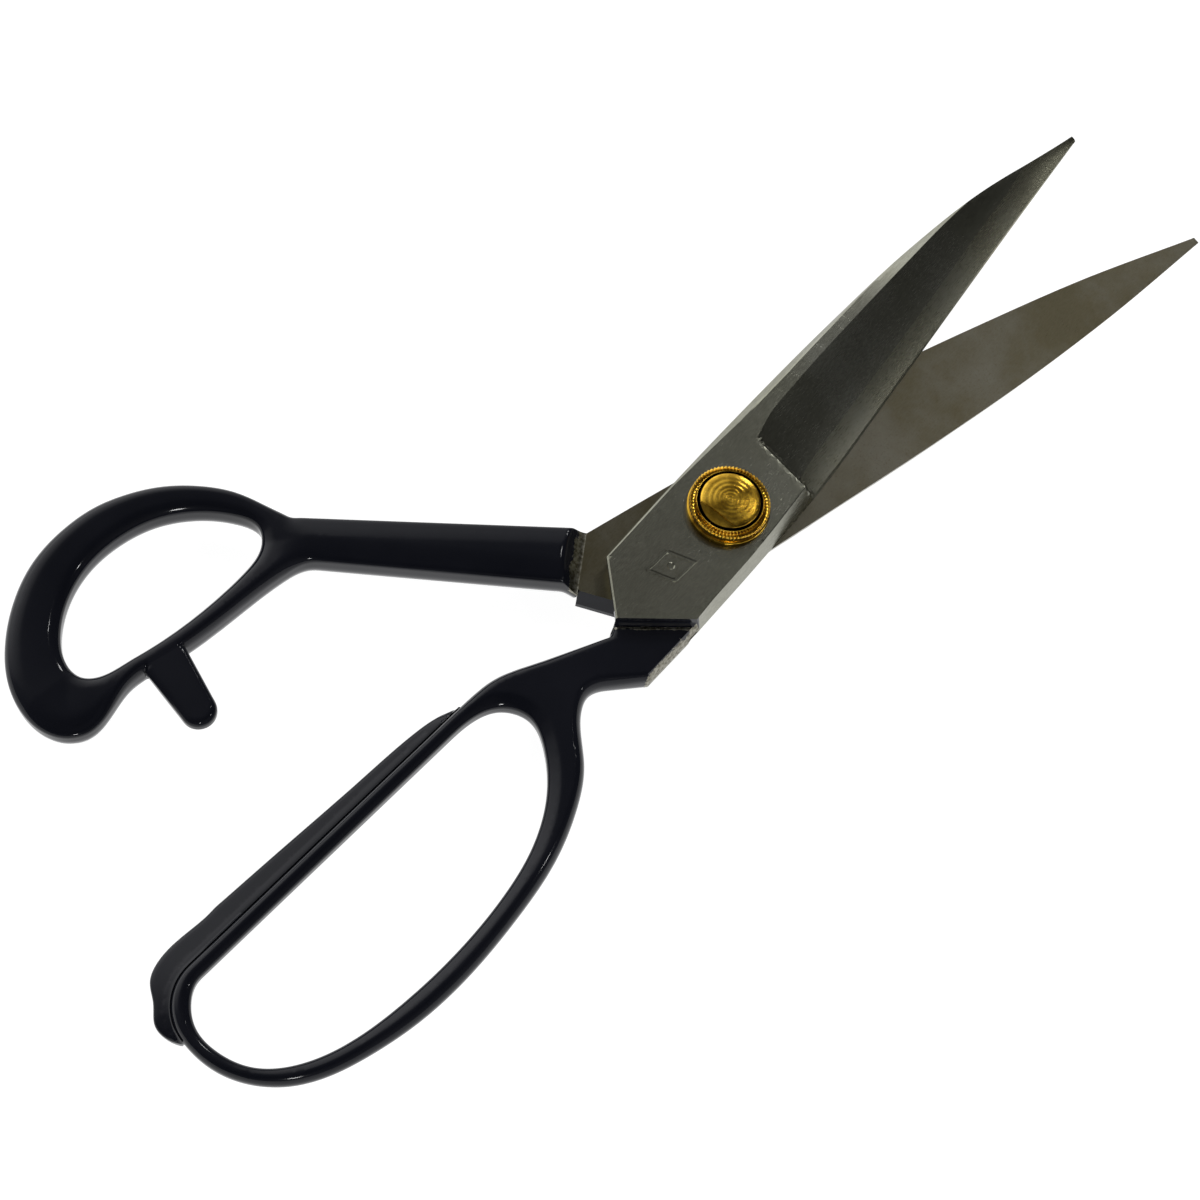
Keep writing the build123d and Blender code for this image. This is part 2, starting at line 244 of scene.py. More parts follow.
# ---- solids from an outline and two height functions ----
def forge(outline, holes, top, bottom, spacing, features=(), rings=(), ring_depths=(), walls=1):
    """Closed solid over a plan outline: vertices (mm) and faces, from heights top(p) and bottom(p).

    features are open lines that the mesh's edges follow. rings are closed outlines with rows of
    points at ring_depths on both sides of each, which make rounded edges round.
    """
    bounds = [outline] + [np.asarray(h) for h in holes]
    points, edges = [], []

    def add_path(path, closed):
        start = sum(len(p) for p in points)
        points.append(path)
        n = len(path)
        edges.extend((start + i, start + (i + 1) % n) for i in range(n if closed else n - 1))

    for loop in bounds:
        add_path(loop, True)
    for line in features:
        add_path(resample(line, spacing), False)
    taken = np.vstack(points)

    cell = {}

    def free(candidates, gap):
        """Drop candidates that come closer than gap to a point already kept."""
        kept = []
        for p in candidates:
            cx, cy = int(p[0] // 1.0), int(p[1] // 1.0)
            near = (q for i in (-1, 0, 1) for j in (-1, 0, 1) for q in cell.get((cx + i, cy + j), ()))
            if all((p[0] - q[0]) ** 2 + (p[1] - q[1]) ** 2 > gap * gap for q in near):
                cell.setdefault((cx, cy), []).append(p)
                kept.append(p)
        return kept

    for p in taken:
        cell.setdefault((int(p[0] // 1.0), int(p[1] // 1.0)), []).append(p)

    def allowed(candidates, clearance):
        ok = inside(candidates, bounds[0])
        for hole in bounds[1:]:
            ok &= ~inside(candidates, hole)
        candidates = candidates[ok]
        if clearance and len(candidates):
            gap = np.min([distance_to(candidates, loop) for loop in bounds], axis=0)
            candidates = candidates[gap > clearance]
        return candidates

    ring_points = []
    for depth in ring_depths:
        for loop in rings:
            for sign in (1, -1):
                beside = allowed(inward(loop, sign * depth), depth * 0.85)
                ring_points.extend(free(beside, min(0.6 * spacing, max(0.03, 0.55 * depth))))
    low, high = taken.min(0), taken.max(0)
    xs = np.arange(low[0], high[0], spacing)
    ys = np.arange(low[1], high[1], spacing * 0.87)
    gx, gy = np.meshgrid(xs, ys)
    gx = gx + (np.arange(len(ys)) % 2)[:, None] * spacing / 2
    grid = allowed(np.c_[gx.ravel(), gy.ravel()], 0.5 * spacing)
    grid = free(grid, 0.62 * spacing)
    everything = np.vstack([taken] + [np.array(g) for g in (ring_points, grid) if len(g)])
    result = delaunay_2d_cdt([Vector(p) for p in everything], edges, [], 0, 1e-5)
    plan = np.array([v[:] for v in result[0]])
    triangles = np.array([f[:] for f in result[2] if len(f) == 3])
    centres = plan[triangles].mean(1)
    keep = inside(centres, bounds[0])
    for hole in bounds[1:]:
        keep &= ~inside(centres, hole)
    triangles = triangles[keep]
    a, b, c = (plan[triangles[:, k]] for k in range(3))
    area = (b - a)[:, 0] * (c - a)[:, 1] - (b - a)[:, 1] * (c - a)[:, 0]
    triangles = triangles[np.abs(area) > 1e-7]
    flip = area[np.abs(area) > 1e-7] < 0
    triangles[flip] = triangles[flip][:, ::-1]

    used = np.unique(triangles)
    index = np.full(len(plan), -1)
    index[used] = np.arange(len(used))
    plan, triangles = plan[used], index[triangles]
    n = len(plan)
    z_top, z_bottom = top(plan), bottom(plan)
    z_top = np.maximum(z_top, z_bottom + 0.02)
    vertices = [np.c_[plan, z_top], np.c_[plan, z_bottom]]
    faces = [tuple(t) for t in triangles] + [tuple(n + i for i in t[::-1]) for t in triangles]
    directed = {(t[i], t[(i + 1) % 3]) for t in triangles for i in range(3)}
    rim = [(i, j) for i, j in directed if (j, i) not in directed]
    rim_ids = sorted({i for edge in rim for i in edge})
    rows = [{i: i for i in rim_ids}]
    offset = 2 * n
    for w in range(1, walls):
        share = w / walls
        row = {i: offset + k for k, i in enumerate(rim_ids)}
        ids = np.array(rim_ids)
        vertices.append(np.c_[plan[ids], z_top[ids] * (1 - share) + z_bottom[ids] * share])
        rows.append(row)
        offset += len(rim_ids)
    rows.append({i: n + i for i in rim_ids})
    for upper, lower in zip(rows, rows[1:]):
        faces.extend((upper[i], lower[i], lower[j], upper[j]) for i, j in rim)
    return np.vstack(vertices), faces


def make_object(name, vertices, faces, smooth_angle):
    """Mesh object from millimetre coordinates, smooth up to an angle (degrees)."""
    mesh = bpy.data.meshes.new(name)
    mesh.from_pydata((np.asarray(vertices) * MM).tolist(), [], [list(map(int, f)) for f in faces])
    mesh.validate()
    piece = bpy.data.objects.new(name, mesh)
    bpy.context.scene.collection.objects.link(piece)
    shade(piece, smooth_angle)
    return piece


def shade(piece, smooth_angle):
    piece.data.shade_smooth()
    piece.data.set_sharp_from_angle(angle=radians(smooth_angle))


def place_upper(vertices):
    """Upper half: heights run up from its inner face."""
    return vertices + [0, 0, UPPER_BASE]


def turn_lower(vertices):
    """Plan view of the lower half turned to where it lies."""
    c, s = cos(radians(-OPEN_ANGLE)), sin(radians(-OPEN_ANGLE))
    return np.c_[
        c * vertices[:, 0] - s * vertices[:, 1], s * vertices[:, 0] + c * vertices[:, 1], vertices[:, 2]
    ]


def place_lower(vertices):
    """Lower half's blade: built face up like the upper one, then turned over about its length."""
    over = np.c_[vertices[:, 0], -vertices[:, 1], CONTACT - vertices[:, 2]]
    return turn_lower(over)


def cut(piece, cutter, operation, smooth_angle):
    """Boolean of two closed meshes, applied to the first."""
    modifier = piece.modifiers.new("cut", "BOOLEAN")
    modifier.object = cutter
    modifier.operation = operation
    modifier.solver = "EXACT"
    bpy.context.view_layer.update()
    evaluated = piece.evaluated_get(bpy.context.evaluated_depsgraph_get())
    mesh = bpy.data.meshes.new_from_object(evaluated)
    piece.modifiers.clear()
    old = piece.data
    piece.data = mesh
    bpy.data.meshes.remove(old)
    shade(piece, smooth_angle)
    return piece


def box_cutter(name, low, high, placed):
    corners = np.array([(x, y, z) for z in (low[2], high[2]) for y in (low[1], high[1])
                        for x in (low[0], high[0])], float)
    faces = [(0, 2, 3, 1), (4, 5, 7, 6), (0, 1, 5, 4), (2, 6, 7, 3), (0, 4, 6, 2), (1, 3, 7, 5)]
    return make_object(name, placed(corners), faces, 30)


# ---- camera ----
VIEW_AZIMUTH = 27.36        # the camera looks towards this azimuth, from +X
VIEW_ELEVATION = 65.0       # and down at this angle
VIEW_ROLL = 13.0
VIEW_DISTANCE = 390.75
AIM = (-27.88, 7.01)        # where it looks, on the plane between the blades
LENS = 64.84

ahead = Vector((
    cos(radians(VIEW_ELEVATION)) * cos(radians(VIEW_AZIMUTH)),
    cos(radians(VIEW_ELEVATION)) * sin(radians(VIEW_AZIMUTH)),
    -sin(radians(VIEW_ELEVATION)),
))
level = Vector((sin(radians(VIEW_AZIMUTH)), -cos(radians(VIEW_AZIMUTH)), 0))
upright = level.cross(ahead)
right = cos(radians(VIEW_ROLL)) * level + sin(radians(VIEW_ROLL)) * upright
up = -sin(radians(VIEW_ROLL)) * level + cos(radians(VIEW_ROLL)) * upright
camera_data = bpy.data.cameras.new("camera")
camera_data.lens = LENS
camera_data.sensor_width = 36
camera_data.clip_start = 0.01
camera = bpy.data.objects.new("camera", camera_data)
bpy.context.scene.collection.objects.link(camera)
eye = (Vector((*AIM, CONTACT)) - VIEW_DISTANCE * ahead) * MM
camera.matrix_world = Matrix.Translation(eye) @ Matrix((right, up, -ahead)).transposed().to_4x4()
bpy.context.scene.camera = camera


# ---- materials ----
class Nodes:
    """Small helper to write a node tree."""

    def __init__(self, name):
        self.material = bpy.data.materials.new(name)
        self.material.use_nodes = True
        self.tree = self.material.node_tree
        self.shader = self.tree.nodes["Principled BSDF"]
        self.coordinates = self.tree.nodes.new("ShaderNodeTexCoord").outputs["Object"]

    def node(self, kind, **settings):
        made = self.tree.nodes.new("ShaderNode" + kind)
        for key, value in settings.items():
            if hasattr(made, key):
                setattr(made, key, value)
            else:
                made.inputs[key.replace("_", " ")].default_value = value
        return made

    def link(self, source, target):
        self.tree.links.new(source, target)

    def mapping(self, scale, rotation=(0, 0, 0)):
        made = self.node("Mapping")
        made.inputs["Scale"].default_value = scale
        made.inputs["Rotation"].default_value = rotation
        self.link(self.coordinates, made.inputs["Vector"])
        return made.outputs["Vector"]

    def noise(self, scale, vector=None, detail=4.0, roughness=0.55):
        made = self.node("TexNoise", Scale=scale, Detail=detail, Roughness=roughness)
        self.link(vector or self.coordinates, made.inputs["Vector"])
        return made.outputs["Fac"]

    def colours(self, factor, stops):
        made = self.node("ValToRGB")
        ramp_elements = made.color_ramp.elements
        while len(ramp_elements) < len(stops):
            ramp_elements.new(0.5)
        for element, (at, colour) in zip(ramp_elements, stops):
            element.position = at
            element.color = (*colour, 1)
        self.link(factor, made.inputs["Fac"])
        return made.outputs["Color"]

    def spread(self, value, low, high, to_low, to_high):
        made = self.node("MapRange", From_Min=low, From_Max=high, To_Min=to_low, To_Max=to_high)
        self.link(value, made.inputs["Value"])
        return made.outputs["Result"]

    def math(self, operation, first, second):
        made = self.node("Math", operation=operation)
        for socket, value in zip(made.inputs, (first, second)):
            if isinstance(value, (int, float)):
                socket.default_value = value
            else:
                self.link(value, socket)
        return made.outputs["Value"]

    def mix(self, factor, first, second):
        made = self.node("Mix", data_type="RGBA")
        for socket, value in ((made.inputs[0], factor), (made.inputs[6], first), (made.inputs[7], second)):
            if isinstance(value, tuple):
                socket.default_value = (*value, 1)
            else:
                self.link(value, socket)
        return made.outputs[2]

    def bump(self, height, distance, strength=1.0, before=None):
        made = self.node("Bump", Strength=strength, Distance=distance)
        self.link(height, made.inputs["Height"])
        if before:
            self.link(before, made.inputs["Normal"])
        return made.outputs["Normal"]


def brushed_steel(name, colour, dark, roughness, turn, scratch=0.5, stain=(0.3, 0.3, 0.28)):
    """Ground steel: fine lines along the grind, stray scratches and faint stains."""
    n = Nodes(name)
    lines = n.noise(1.0, n.mapping((700, 6500, 3000), (0, 0, turn)), detail=5, roughness=0.75)
    strays = n.noise(1.0, n.mapping((3600, 160, 400), (0, 0, turn + 0.5)), detail=3, roughness=0.6)
    cloud = n.noise(45, detail=5, roughness=0.6)
    speck = n.noise(2400, detail=3, roughness=0.6)
    base = n.colours(lines, ((0.25, dark), (0.7, colour)))
    base = n.mix(n.spread(cloud, 0.45, 0.75, 0.0, 0.4), base, stain)
    base = n.mix(n.spread(speck, 0.55, 0.7, 0.0, 0.4), base, dark)
    n.link(base, n.shader.inputs["Base Color"])
    n.shader.inputs["Metallic"].default_value = 1.0
    rough = n.spread(n.math("ADD", lines, cloud), 0.7, 1.3, roughness - 0.03, roughness + 0.04)
    n.link(rough, n.shader.inputs["Roughness"])
    normal = n.bump(lines, 0.00002, scratch)
    normal = n.bump(n.spread(strays, 0.64, 0.72, 0, 1), 0.00002, scratch * 0.6, normal)
    n.link(normal, n.shader.inputs["Normal"])
    return n.material


def enamel(name):
    """Glossy black enamel that shows bare metal where the piece's bare attribute is high."""
    n = Nodes(name)
    bare = n.node("Attribute", attribute_name="bare").outputs["Fac"]
    ragged = n.noise(520, detail=6, roughness=0.7)
    mask = n.spread(n.math("ADD", bare, n.spread(ragged, 0.2, 0.8, -0.6, 0.6)), 0.48, 0.52, 0, 1)
    grain = n.noise(1500, detail=3)
    metal = n.colours(grain, ((0.35, (0.09, 0.08, 0.05)), (0.62, (0.3, 0.29, 0.24))))
    coat = n.colours(n.noise(60, detail=3), ((0.3, (0.008, 0.009, 0.014)), (0.7, (0.012, 0.013, 0.019))))
    n.link(n.mix(mask, coat, metal), n.shader.inputs["Base Color"])
    n.link(mask, n.shader.inputs["Metallic"])
    smears = n.spread(n.noise(90, detail=5, roughness=0.65), 0.3, 0.75, 0.05, 0.13)
    rough = n.node("Mix", data_type="FLOAT")
    n.link(mask, rough.inputs[0])
    n.link(smears, rough.inputs[2])
    rough.inputs[3].default_value = 0.38
    n.link(rough.outputs[0], n.shader.inputs["Roughness"])
    wave = n.bump(n.noise(140, detail=2), 0.00006, 0.5)
    edge = n.bump(mask, 0.00006, 1.0, wave)
    edge.node.invert = True
    n.link(n.bump(grain, 0.00001, 0.2, edge), n.shader.inputs["Normal"])
    n.shader.inputs["IOR"].default_value = 1.28
    return n.material


def turned_brass(name, rough=0.2):
    """Bright brass with fine turning lines round the pivot axis, and painted shade: a dark ring in the gap
    between the bolt's dome and the nut.
    """
    n = Nodes(name)
    split = n.node("SeparateXYZ")
    n.link(n.coordinates, split.inputs[0])
    radius = n.math("SQRT", n.math("ADD", n.math("MULTIPLY", split.outputs[0], split.outputs[0]),
                                   n.math("MULTIPLY", split.outputs[1], split.outputs[1])), 0.0)
    rings = n.node("CombineXYZ")
    n.link(n.math("MULTIPLY", radius, 9000.0), rings.inputs[0])
    lines = n.noise(1.0, rings.outputs[0], detail=3, roughness=0.6)
    cloud = n.noise(260, detail=4, roughness=0.6)
    base = n.colours(cloud, ((0.35, (0.4, 0.22, 0.02)), (0.6, (0.85, 0.52, 0.06))))
    # painted shade: the ring between the bolt's dome and the nut, above the nut's base, is darkened to stand
    # in for the shadow under the dome's rim
    raised = n.math("GREATER_THAN", split.outputs[2], (NUT_BASE + 0.3) * MM)
    past_bolt = n.spread(radius, 5.48 * MM, 5.56 * MM, 0, 1)
    before_nut = n.spread(radius, 6.04 * MM, 6.12 * MM, 1, 0)
    gap = n.math("MULTIPLY", past_bolt, before_nut)
    base = n.mix(n.math("MULTIPLY", gap, raised), base, (0.015, 0.01, 0.004))
    n.link(base, n.shader.inputs["Base Color"])
    n.shader.inputs["Metallic"].default_value = 1.0
    n.link(n.spread(cloud, 0.3, 0.7, rough - 0.06, rough + 0.1), n.shader.inputs["Roughness"])
    n.link(n.bump(lines, 0.00003, 0.7), n.shader.inputs["Normal"])
    return n.material


LOWER_TURN = radians(OPEN_ANGLE)
steel = brushed_steel("blade_steel", (0.31, 0.31, 0.25), (0.16, 0.16, 0.12), 0.25, 0.0)
steel_lower = brushed_steel("blade_steel_lower", (0.16, 0.14, 0.09), (0.10, 0.09, 0.05), 0.3, LOWER_TURN)
steel_cutting = brushed_steel("cutting_steel", (0.33, 0.32, 0.24), (0.17, 0.17, 0.12), 0.27, 0.0)
steel_cutting_lower = brushed_steel(
    "cutting_steel_lower", (0.16, 0.14, 0.09), (0.11, 0.10, 0.06), 0.3, LOWER_TURN)
black = enamel("black_enamel")
brass = turned_brass("brass")


def dress(piece, materials, body, slot, *nodes):
    """Materials, body and replaced nodes of a finished piece; the slot argument is not used."""
    piece.data.materials.clear()
    for material in materials:
        piece.data.materials.append(material)
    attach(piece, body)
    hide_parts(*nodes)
    return piece


# ---- blades ----
STEP = 0.7                   # spacing of the mesh
FLAT = THICK
LAND = 0.08                  # thickness of the cutting edge
BEVEL_SHARE = 0.025          # width of the edge bevel, as a share of the grind's
BEVEL_HEIGHT = 0.42
HOLLOW = 0.03                # depth of the hollow grind, as a share of its width
WHEEL_RADIUS = 0.8           # the grinding wheel's rim, which leaves the run-out at the plunge line
SIDES = {
    "upper": {
        "edge": ((16.6, -9.8), (45, -7.4), (70, -5.1), (92, -3.1), (117.4, -1.0)),
        "spine": ((16.6, 10.8), (45, 10.1), (70, 8.6), (92, 5.7), (117.4, 0.1)),
        "ridge": ((15.1, 4.9), (21, 6.2), (30, 6.7), (50, 6.95), (68, 6.9), (80, 6.75), (88, 6.35)),
        "corners": ((-22.4, 10.5), (-30.8, 1.6), (-20.6, -10.3)),
    },
    "lower": {
        "edge": ((16.6, -10.8), (45, -9.8), (70, -7.7), (92, -5.3), (119.1, -0.9)),
        "spine": ((16.6, 9.1), (45, 8.1), (70, 6.6), (92, 4.4), (119.1, 0.5)),
        "ridge": ((15.1, 4.0), (21, 4.8), (30, 5.0), (50, 5.0), (68, 4.7), (80, 4.6), (90, 4.6)),
        "corners": ((-21.4, 10.3), (-31.7, -1.9), (-23.2, -11.3)),
    },
}
RIDGE_HEIGHTS = ((15.1, 5.0), (28, 4.8), (45, 4.5), (66, 3.9), (82, 3.2), (90, 2.75), (98, 2.0), (105, 1.2),
                 (112, 0.85), (119.1, 0.75))
SPINE_HEIGHTS = ((-22.4, 4.7), (-3, 4.6), (16, 3.7), (30, 3.4), (45, 3.2), (70, 3.0), (90, 2.7), (98, 1.95),
                 (105, 1.2), (112, 0.85), (119.1, 0.75))
FACET_HEIGHTS = ((-22.4, 5.0), (15, 5.0), (28, 4.8), (45, 4.45), (54, 4.0), (66, 3.05), (88, 2.9),
                 (119.1, 0.75))
FACET_WIDTHS = ((-22.4, 0.3), (-3, 0.4), (16, 1.4), (30, 1.3), (45, 0.85), (60, 0.1), (119.1, 0.1))
PLUNGE_TOP = 15.1            # x of the plunge line's high end, on the ridge
TANG_START = -2              # the tang lies behind this x
PLUNGE_CORNER = (13.1, 1.8)  # x of the plunge line's low end, and how far inside the edge it lies
SLANT = ((-24, 0.7), (-16, 1.05), (-4, 1.1), (4, 1.4), (13.1, 1.8))   # lean of the tang's low side
BACK_SLANT = 0.24            # lean of the lower blade's back, per millimetre of height
RIM_CHAMFER = 0.3            # round the tang's end
GROOVE = 0.14                # depth of the line between the two strips along the spine
GROOVE_WIDTH = 0.2           # on each side of its middle
GROOVE_SHARES = ((18, 0), (24, 1), (58, 1), (64, 0))    # of that depth, along the blade
GROOVE_SKIP = 45             # points of the line before the groove starts
EDGE_ROUND = 0.2             # worn edge between the flat and the grind
WORN_POINTS = 22             # points of the flat's low side, next to the plunge, that are worn too
END_INSET = 1.0              # how far the tang's end leans out from its inner face
END_LEAN = 3.6               # millimetres of height per millimetre of that lean
STAMP_CENTRE = (-16.2, 0.6)
STAMP_TURN = radians(-38)
STAMP_HALF = (4.4, 3.0)      # half diagonals of the stamped lozenge
STAMP_LINE = 0.7             # width of the stamp's grooves
STAMP_DEPTH = 0.14


def in_stamp(points):
    """Plan points in the stamp's own frame, along its long diagonal."""
    c, s = cos(STAMP_TURN), sin(STAMP_TURN)
    return (points - np.array(STAMP_CENTRE)) @ np.array([[c, -s], [s, c]])


def stamped(points):
    """Share of the stamp's depth at plan points: a sunk lozenge outline round a sunk dot."""
    u, v = in_stamp(points).T
    lean = STAMP_HALF[0] * STAMP_HALF[1] / np.hypot(*STAMP_HALF)
    off_line = np.abs(np.abs(u) / STAMP_HALF[0] + np.abs(v) / STAMP_HALF[1] - 1) * lean
    off_dot = np.hypot(u, v) - 0.45
    return np.clip(2 - 4 * np.minimum(off_line, off_dot) / STAMP_LINE, 0, 1)


def stamp_lines():
    """Lines along the borders of the stamp's grooves, in plan."""
    c, s = cos(STAMP_TURN), sin(STAMP_TURN)
    back = np.array([[c, s], [-s, c]])
    lean = STAMP_HALF[0] * STAMP_HALF[1] / np.hypot(*STAMP_HALF)
    corners = np.array([(1, 0), (0, 1), (-1, 0), (0, -1), (1, 0)]) * STAMP_HALF
    angles = np.linspace(0, 2 * np.pi, 13)
    ring = np.c_[np.cos(angles), np.sin(angles)]
    lines = [corners * (1 + off / lean) for off in (-0.5 * STAMP_LINE, -0.25 * STAMP_LINE,
                                                     0.25 * STAMP_LINE, 0.5 * STAMP_LINE)]
    lines += [ring * (0.45 + off) for off in (0.25 * STAMP_LINE, 0.5 * STAMP_LINE)]
    return [line @ back + STAMP_CENTRE for line in lines]


def build_blade(side):
    data = SIDES[side]
    tip = data["edge"][-1][0]
    low_corner = data["corners"][2]
    high_corner = data["corners"][0]
    edge = smooth_curve((low_corner, (-4, low_corner[1]), *data["edge"]))
    spine = smooth_curve((high_corner, *data["spine"]))
    ridge_in = smooth_curve(data["ridge"])
    merge = data["ridge"][-1][0]

    def ridge(x):
        blend_to = spine(merge)
        free = ridge_in(x) + (blend_to - ridge_in(merge)) * np.clip((x - merge + 14) / 14, 0, 1) ** 2
        return np.where(x < merge, np.minimum(free, spine(x) - 0.02), spine(x) - 0.02)

    ridge_z = smooth_curve(RIDGE_HEIGHTS)
    spine_z = smooth_curve(SPINE_HEIGHTS)
    plunge_y = edge(PLUNGE_CORNER[0]) + PLUNGE_CORNER[1]

    def facet_y(x):
        return np.maximum(spine(x) - ramp(x, FACET_WIDTHS), ridge(x) + 0.01)

    def flat_edge(x):
        """Low side of the flat, in front of which the tang leans down to the edge."""
        return edge(x) + ramp(x, SLANT)

    def strips(x, y, ridge_y, spine_y, line_y):
        """Heights of the two strips between the ridge and the spine, which meet at the line."""
        ridge_top, spine_top = ridge_z(x), spine_z(x)
        line_top = np.minimum(np.maximum(ramp(x, FACET_HEIGHTS), spine_top), ridge_top)
        inner_fall = (line_top - ridge_top) * (y - ridge_y) / np.maximum(line_y - ridge_y, 1e-3)
        outer_fall = (spine_top - line_top) * (y - line_y) / np.maximum(spine_y - line_y, 1e-3)
        height = np.where(y < line_y, ridge_top + inner_fall, line_top + outer_fall)
        height = np.where(x < PLUNGE_TOP, np.minimum(FLAT, height), height)
        groove = GROOVE * np.clip(1 - np.abs(y - line_y) / GROOVE_WIDTH, 0, 1)
        return height - groove * ramp(x, GROOVE_SHARES)

    def grind(x, y, edge_y, ridge_y):
        """Heights of the hollow grind and of the bevel at its edge."""
        ridge_top = ridge_z(x)
        width = ridge_y - edge_y
        bevel = BEVEL_SHARE * width
        bevel_top = np.minimum(BEVEL_HEIGHT, 0.65 * spine_z(x))
        share = np.clip((y - edge_y - bevel) / np.maximum(width - bevel, 1e-3), 0, 1)
        hollow = 4 * HOLLOW * width * share * (1 - share) * (x > PLUNGE_TOP - 9)
        on_grind = bevel_top + (ridge_top - bevel_top) * share - hollow
        on_bevel = LAND + (bevel_top - LAND) * np.clip((y - edge_y) / np.maximum(bevel, 1e-3), 0, 1)
        return np.where(y < edge_y + bevel, on_bevel, on_grind)

    def top(p):
        x, y = p.T
        edge_y, ridge_y, line_y = edge(x), ridge(x), facet_y(x)
        ground = grind(x, y, edge_y, ridge_y)
        share = np.clip((plunge_end[1] - y) / (plunge_end[1] - plunge_y), 0, 1)
        plunge_x = PLUNGE_TOP + (PLUNGE_CORNER[0] - PLUNGE_TOP) * share
        runout_length = np.sqrt(2 * WHEEL_RADIUS * np.maximum(FLAT - ground, 0))
        runout = ground + np.maximum(runout_length - (x - plunge_x), 0) ** 2 / (2 * WHEEL_RADIUS)
        tang_side = LAND + (FLAT - LAND) * (y - edge_y) / (flat_edge(x) - edge_y)
        blade_side = LAND + (y - edge_y) * (FLAT - LAND) / PLUNGE_CORNER[1]
        before_plunge = np.minimum(FLAT, tang_side)
        past_plunge = np.minimum(np.minimum(runout, FLAT), np.maximum(blade_side, ground))
        low_part = np.where(x < plunge_x, before_plunge, past_plunge)
        high_part = strips(x, y, ridge_y, spine(x), line_y)
        z = np.where(np.where(x < PLUNGE_TOP, y < line_y, y < ridge_y), low_part, high_part)
        tang = x < TANG_START
        rim_gap = distance_to(p[tang], tang_end, closed=False)
        z[tang] = np.minimum(z[tang], FLAT - np.maximum(RIM_CHAMFER - rim_gap, 0))
        worn = np.maximum(EDGE_ROUND - distance_to(p, flat_border, closed=False), 0) ** 2 / (2 * EDGE_ROUND)
        z = z - worn * np.clip(np.hypot(x - plunge_end[0], y - plunge_end[1]) - 0.3, 0, 1)
        if side == "upper":
            z[tang] -= STAMP_DEPTH * stamped(p[tang])
        else:
            z = np.minimum(z, LAND + distance_to(p, back_line, closed=False) / BACK_SLANT)
        return z

    xs_low = np.arange(low_corner[0], tip, STEP)
    xs_high = np.arange(tip, high_corner[0], -STEP)
    tang_end = np.array([high_corner, data["corners"][1]])
    back_line = np.c_[xs_high, spine(xs_high)]
    outline = np.vstack([
        np.c_[xs_low, edge(xs_low)],
        resample(np.array([(tip, edge(tip)), (tip, spine(tip))]), STEP / 2)[:-1],
        back_line,
        resample(tang_end, STEP)[:-1],
        resample(np.array([data["corners"][1], low_corner]), STEP)[:-1],
    ])
    ridge_x = np.arange(PLUNGE_TOP, merge, STEP)
    facet_x = np.arange(high_corner[0] + 0.6, 60, STEP)
    facet_line = np.c_[facet_x, facet_y(facet_x)]
    ground_x = np.arange(PLUNGE_CORNER[0] + 2.5, tip - 1.0, STEP)
    bevel_line = np.c_[ground_x, edge(ground_x) + BEVEL_SHARE * (ridge(ground_x) - edge(ground_x))]
    flat_x = np.arange(low_corner[0] - 0.9, PLUNGE_CORNER[0], STEP)
    flat_line = np.vstack([np.c_[flat_x, flat_edge(flat_x)], [(PLUNGE_CORNER[0], plunge_y)]])
    plunge_end = (PLUNGE_TOP, ridge(np.array([PLUNGE_TOP]))[0])
    flat_border = np.vstack([flat_line[-WORN_POINTS:], [plunge_end]])
    features = [
        np.c_[ridge_x, ridge(ridge_x)],
        facet_line,
        *(facet_line[GROOVE_SKIP:] + (0, off) for off in (-GROOVE_WIDTH, GROOVE_WIDTH)),
        bevel_line,
        flat_line,
        np.array([(PLUNGE_CORNER[0], plunge_y), plunge_end]),
        mitred(tang_end, RIM_CHAMFER),
        *(mitred(flat_border, share * EDGE_ROUND)[1:-1] for share in (0.5, 1.0)),
    ]
    if side == "upper":
        features += stamp_lines()
    else:
        short = back_line[8:-10]
        features.append(np.c_[short[:, 0], short[:, 1] - BACK_SLANT * (spine_z(short[:, 0]) - LAND)])
    angles = np.linspace(0, 2 * np.pi, 96, endpoint=False)
    bore = BORE_RADIUS * np.c_[np.cos(angles), np.sin(angles)]
    if side == "lower":
        bore = (BOLT_RADIUS + 0.02) * np.c_[np.cos(angles), np.sin(angles)]
        bore[:, 0] = np.maximum(bore[:, 0], -KEY_FLAT - 0.02)

    def bottom(p):
        return END_LEAN * np.maximum(END_INSET - distance_to(p, tang_end, closed=False), 0)

    inset = mitred(tang_end, END_INSET)
    features.append(inset * 0.98 + inset.mean(0) * 0.02)
    return forge(outline, [bore], top, bottom, STEP, features)


def paint_end_wall(piece, start, end, to_plan, low, high, reach=0.25):
    """Second material on the wall between two corners of the tang."""
    start, end = np.array(start), np.array(end)
    along = (end - start) / np.linalg.norm(end - start)
    for polygon in piece.data.polygons:
        if abs(polygon.normal.z) > 0.6:
            continue
        x, y, z = to_plan(np.array(polygon.center) / MM)
        gap = (x - start[0]) * along[1] - (y - start[1]) * along[0]
        if abs(gap) < reach and low < z < high:
            polygon.material_index = 1


def lower_plan(point):
    """A placed point in the lower blade's own plan and height."""
    turn = radians(OPEN_ANGLE)
    return (point[0] * cos(turn) - point[1] * sin(turn),
            -point[0] * sin(turn) - point[1] * cos(turn), CONTACT - point[2])


